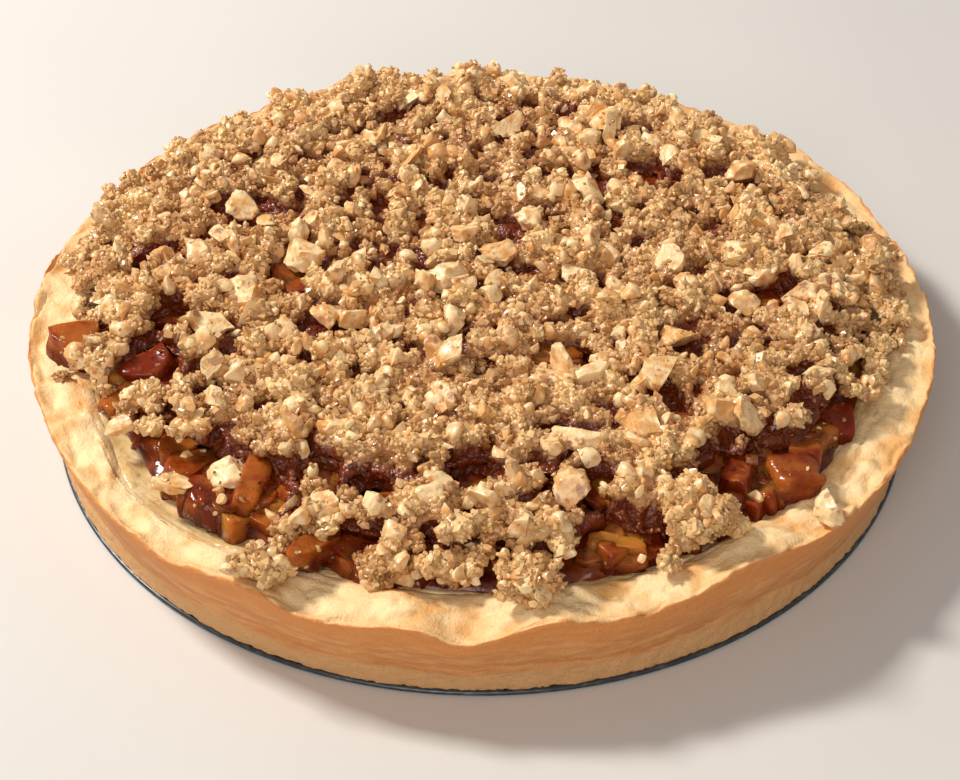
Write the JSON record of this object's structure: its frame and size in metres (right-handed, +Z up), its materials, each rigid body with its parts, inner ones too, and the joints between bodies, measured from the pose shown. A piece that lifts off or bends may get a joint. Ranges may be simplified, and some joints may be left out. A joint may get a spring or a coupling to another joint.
{
  "type": "apple crumble tart",
  "caption": "Round open tart on its flat tin base: shortcrust shell, custard layer, diced caramelised apple and a hazelnut crumble heaped over it.",
  "frame": {"origin": "centre of the tin base's underside, on the surface that the tart stands on", "axes": "+Z up, -Y towards the side that the picture shows in front, +X to the right seen from there"},
  "size_m": [0.2598, 0.2603, 0.0466],
  "materials": {
    "steel": "dark non-stick coating, satin",
    "pastry": "baked shortcrust, matte, browned at the edge",
    "custard": "set vanilla custard, glossy",
    "apple": "caramelised apple in syrup, wet gloss",
    "crumble": "grainy baked sugar and nut crumble, small glints",
    "hazelnut": "roasted hazelnut kernel, soft sheen"
  },
  "bodies": {
    "root": {"tin_base": "steel", "crust": "pastry", "custard": "custard", "apple_filling": "apple", "crumble": "crumble", "crumble_clump_01": "crumble", "crumble_clump_02": "crumble", "crumble_clump_03": "crumble", "crumble_clump_04": "crumble", "crumble_clump_05": "crumble", "crumble_clump_06": "crumble", "hazelnut_01": "hazelnut", "hazelnut_02": "hazelnut", "hazelnut_03": "hazelnut", "hazelnut_04": "hazelnut", "hazelnut_05": "hazelnut", "hazelnut_06": "hazelnut", "hazelnut_07": "hazelnut", "hazelnut_08": "hazelnut", "hazelnut_09": "hazelnut", "hazelnut_10": "hazelnut", "hazelnut_11": "hazelnut", "hazelnut_12": "hazelnut", "hazelnut_13": "hazelnut", "hazelnut_14": "hazelnut", "hazelnut_15": "hazelnut", "hazelnut_16": "hazelnut", "hazelnut_17": "hazelnut", "hazelnut_18": "hazelnut"}
  },
  "joints": []
}
